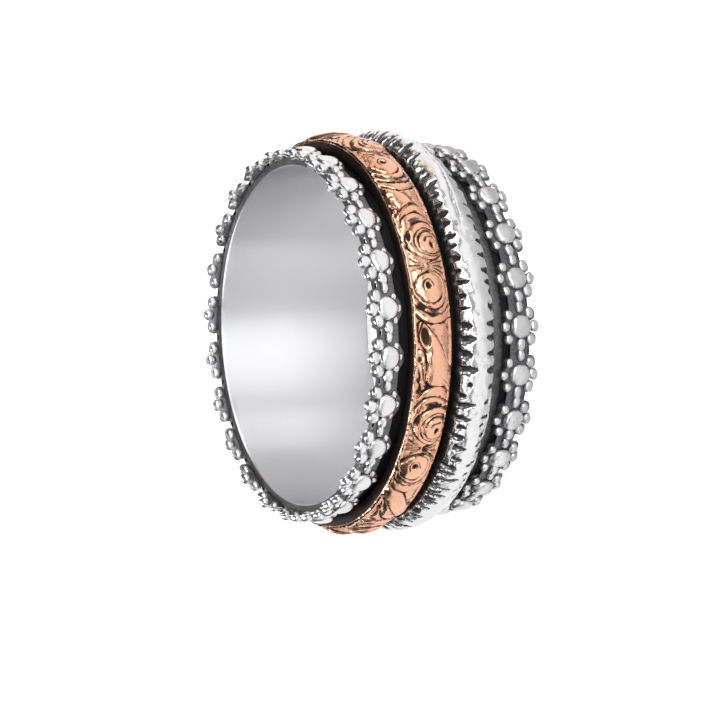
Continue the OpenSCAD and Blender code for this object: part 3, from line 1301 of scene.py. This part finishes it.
    def build(self) -> bpy.types.Object:
        """Makes the silver band.

        Returns:
            The finished piece.
        """
        piece = self.turned()
        points, turn, across, belongs = self.face(piece)
        spin = math.radians(self.crest_r)
        waves = np.array([noise.noise(Vector(p) * 0.9) + 0.5 * noise.noise(Vector(p) * 2.3)
                          for p in points])
        fine = np.array([noise.noise(Vector(p) * 5.5) for p in points])
        beaten = np.array([noise.noise(Vector(p) * 1.9 + Vector((7.0, 3.0, 5.0)))
                           for p in points])
        height = self.waves * waves + self.grain * fine + self.hammer * beaten**2
        face = Chased(-turn * spin, across, height, np.zeros(len(turn)),
                      np.clip(fine + 0.6 * waves, -0.8, 0.8))
        turns, levels = zip(*sorted(self.crease))
        fold = np.interp(turn, turns, levels)
        shown = plateau(turn, (24.0, 37.0), (85.0, 100.0))
        above = across - fold
        face.height += shown * (self.crease_lift * plateau(above, (-0.08, 0.15), (0.4, 1.1))
                                - self.crease_cut * np.exp(-((above + 0.06) / 0.09) ** 2))
        face.oxide[:] = np.maximum(face.oxide, (0.45 + 0.5 * fine) * shown
                                   * np.exp(-((above + 0.06) / 0.06) ** 2))
        edge = (self.high_z - self.low_z) / 2
        draw = np.random.default_rng(self.seed)
        for side, marks in ((1.0, self.front), (-1.0, self.rear)):
            for notch in marks:
                self.strike(face, notch, side, edge)
            for t in np.arange(*self.far_side):
                place = (t + draw.normal(0.0, 0.5) + 180.0) % 360.0 - 180.0
                far = draw.uniform(0.5, 0.95) if side > 0 else draw.uniform(0.3, 0.6)
                self.strike(face, Notch(place, far, draw.uniform(0.13, 0.22),
                                        lean=draw.normal(0.1, 0.12)), side, edge)
        ragged = self.ragged * waves * step(-across, 0.6, 0.95)
        self.raise_face(piece, face.height - 0.03, ragged)
        # Off the worked face, the flanks and the inside are fully blackened: painted shade for the
        # shadowed gaps beside the band.
        write_mask(piece, OXIDE, np.maximum(face.oxide * belongs, step(belongs, 0.97, 0.8)))
        write_mask(piece, TONE, np.clip(0.75 + 0.5 * waves, 0.0, 1.0))
        pick(piece)
        bpy.ops.object.shade_smooth()
        piece.data.materials.append(Finishes.HAMMERED.value.material())
        return piece


# Studio


@dataclass(frozen=True)
class Lamp:
    """A soft lamp: its direction in degrees, width and height in metres, and its power."""

    name: str
    azimuth: float
    height: float
    size: tuple[float, float]
    watts: float
    tint: tuple[float, float, float] = (1.0, 1.0, 1.0)

    def hang(self, away: float) -> None:
        """Hangs the lamp so that it faces the ring.

        Args:
            away: Its distance from the ring in metres.
        """
        a, h = math.radians(self.azimuth), math.radians(self.height)
        way = Vector((math.sin(a) * math.cos(h), -math.cos(a) * math.cos(h), math.sin(h)))
        light = bpy.data.lights.new(self.name, "AREA")
        light.shape, light.energy, light.color = "RECTANGLE", self.watts, self.tint
        light.size, light.size_y = self.size
        lamp = bpy.data.objects.new(self.name, light)
        bpy.context.scene.collection.objects.link(lamp)
        lamp.matrix_world = (Matrix.Translation(way * away)
                             @ way.to_track_quat("Z", "Y").to_matrix().to_4x4())


@dataclass
class Studio:
    """The floor, the light and the camera of the picture."""

    elevation: float = 27.7
    roll: float = -2.97
    offset: tuple[float, float, float] = (-3.25, 1.25, 250.45)
    front_edge_z: float = 8.9
    focal_px: float = 4910.0
    picture_px: float = 720.0
    sensor: float = 36.0
    floor_lift: float = 0.7
    lamp_away: float = 0.5
    lamps: tuple[Lamp, ...] = (
        Lamp("front_box", 13.0, 27.0, (0.48, 0.2), 1.45),
        Lamp("left_box", 66.5, 27.0, (0.32, 0.2), 0.9),
        Lamp("right_box", -46.0, 27.0, (0.4, 0.2), 0.41),
        Lamp("back_key", -150.0, 57.0, (0.1, 0.1), 1.4),
        Lamp("high_side", -90.0, 70.0, (0.12, 0.12), 0.65),
        Lamp("back_box", 180.0, 36.0, (0.2, 0.2), 0.6),
        Lamp("warm_side", 105.0, 5.0, (0.3, 0.06), 0.1, (1.0, 0.8, 0.55)))

    def camera(self) -> bpy.types.Object:
        """Puts the camera where the photograph was taken from.

        Returns:
            The camera.
        """
        e, r = math.radians(self.elevation), math.radians(self.roll)
        back = Vector((0.0, -math.cos(e), math.sin(e)))
        plain_up = Vector((1.0, 0.0, 0.0))
        plain_right = plain_up.cross(back)
        right = plain_right * math.cos(r) + plain_up * math.sin(r)
        up = plain_up * math.cos(r) - plain_right * math.sin(r)
        place = back * self.offset[2] - right * self.offset[0] - up * self.offset[1]
        place.z += self.front_edge_z
        lens = bpy.data.cameras.new("camera")
        lens.lens = self.focal_px / self.picture_px * self.sensor
        lens.sensor_width = self.sensor
        lens.clip_start, lens.clip_end = 0.01, 20.0
        camera = bpy.data.objects.new("camera", lens)
        bpy.context.scene.collection.objects.link(camera)
        turn = Matrix((right, up, back)).transposed().to_4x4()
        camera.matrix_world = Matrix.Translation(place * MM) @ turn
        bpy.context.scene.camera = camera
        return camera

    def floor(self) -> bpy.types.Object:
        """Lays the pale floor under the ring.

        Returns:
            The floor.
        """
        deselect_all()
        bpy.ops.mesh.primitive_plane_add(size=4.0)
        floor = bpy.context.object
        floor.name = "floor"
        paint = bpy.data.materials.new("pale_floor")
        paint.use_nodes = True
        wiring = Wiring(paint.node_tree)
        place = wiring.add("TexCoord").outputs["Object"]
        grain = wiring.add("TexNoise", Vector=place, Scale=40.0, Detail=3.0).outputs[0]
        tint = wiring.mix(grain, (0.9, 0.9, 0.9, 1.0), (0.92, 0.92, 0.92, 1.0))
        seen = wiring.add("LightPath").outputs["Is Camera Ray"]
        shader = wiring.add("BsdfPrincipled", Base_Color=tint, Roughness=0.9,
                            Emission_Color=(1.0, 1.0, 1.0, 1.0),
                            Emission_Strength=wiring.math("MULTIPLY", seen, self.floor_lift))
        wiring.add("OutputMaterial", Surface=shader.outputs[0])
        floor.data.materials.append(paint)
        return floor

    def sky(self) -> None:
        """Surrounds the scene with dim light, brighter low on the camera's side."""
        world = bpy.data.worlds.new("studio")
        bpy.context.scene.world = world
        world.use_nodes = True
        wiring = Wiring(world.node_tree)
        way = wiring.add("SeparateXYZ", Vector=wiring.add("TexCoord").outputs["Generated"])
        front = wiring.ramp(way.outputs[1], -0.3, 0.3, 0.13, 0.03)
        glow = wiring.ramp(way.outputs[2], 0.6, 0.8, front, 0.04)
        seen = wiring.add("LightPath").outputs["Is Camera Ray"]
        wiring.feed(wiring.add("OutputWorld"), 0, wiring.add(
            "Background", Strength=wiring.ramp(seen, 0.0, 1.0, glow, 0.9)).outputs[0])

    def build(self) -> None:
        """Sets up the whole studio."""
        self.camera()
        self.floor()
        self.sky()
        for lamp in self.lamps:
            lamp.hang(self.lamp_away)
        bpy.context.scene.view_settings.view_transform = "Standard"


def main() -> None:
    """Builds the ring and the studio, and reports each piece."""
    logging.basicConfig(level=logging.INFO, format="%(name)s: %(message)s")
    noise.seed_set(CAST_SEED)
    recess_oxide_group()
    polish_marks_group()
    front_rim = BeadedRim(Rim.FRONT, 8.52, 6.5, dome=Bead(0.61, 0.58, 0.38, 3.2, 32, 9),
                          inner=Bead(0.2, 0.17, 0.11, 2.5), in_middle=0.69,
                          in_side=(0.56, 0.45))
    rear_rim = BeadedRim(Rim.REAR, 1.04, 14.0, dome=Bead(0.58, 0.57, 0.36, 3.2, 32, 9),
                         outer=Bead(0.31, 0.25, 0.22, 2.8, whole=True),
                         inner=Bead(0.25, 0.24, 0.24, 2.4), in_middle=0.9, in_side=(0.62, 0.65),
                         neck=0.42)
    makers = (
        (Sleeve(), "base", "base_band", "oxidized_silver"),
        (front_rim, "base", "base_band", "oxidized_silver"),
        (rear_rim, "base", "base_band", "oxidized_silver"),
        (RoseBand("rose_band_relief", 5.28, 7.43, 10.35), "rose_spinner", "rose_band",
         "rose_gold"),
        (SilverBand("silver_band_relief", 2.82, 4.78, 10.3), "silver_spinner", "silver_band",
         "hammered_silver"),
    )
    for maker, body, node, slot in makers:
        piece = maker.build()
        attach(piece, body)
        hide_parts(node)
        log.info("%s: %d vertices, %d faces", piece.name, len(piece.data.vertices),
                 len(piece.data.polygons))
    Studio().build()


if __name__ == "__main__":
    main()
